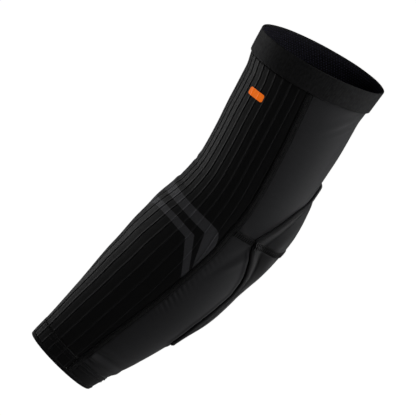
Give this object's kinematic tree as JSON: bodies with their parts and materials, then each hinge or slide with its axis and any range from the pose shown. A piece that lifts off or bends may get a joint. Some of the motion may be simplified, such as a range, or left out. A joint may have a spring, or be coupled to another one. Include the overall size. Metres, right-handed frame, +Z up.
{
  "type": "elbow guard",
  "caption": "Stretch-knit arm sleeve bent at the elbow, with a ribbed front panel, an elastic band at the biceps and a padded shield over the elbow.",
  "frame": {"origin": "middle of the elbow, inside the sleeve, in the plane in which the arm bends", "axes": "+Z up in the picture; the arm bends in the XZ plane, with the cuff at -X low and the band at +X high; +Y is across the arm, away from the viewer"},
  "size_m": [0.3515, 0.0898, 0.3885],
  "materials": {
    "ribbed_knit": "matt ribbed stretch knit, near black",
    "smooth_knit": "smooth stretch knit with a soft sheen, charcoal",
    "elastic": "woven elastic band, charcoal",
    "stitching": "flat-locked thread and binding, black",
    "mesh_tape": "fine mesh tape, dark violet grey",
    "pad_cover": "smooth stretch knit over foam, charcoal"
  },
  "bodies": {
    "root": {"cuff_binding": "stitching", "cuff_hem_front": "ribbed_knit", "cuff_hem_back": "smooth_knit", "front_panel": "ribbed_knit", "forearm_back_panel": "smooth_knit", "upper_back_panel": "smooth_knit", "outer_front_seam": "stitching", "inner_front_seam": "stitching", "elbow_seam": "stitching", "elbow_pad_lower": "pad_cover", "elbow_pad_upper": "pad_cover", "elbow_pad_seam": "stitching", "upper_band": "elastic", "band_grip_tape": "mesh_tape"}
  },
  "joints": []
}
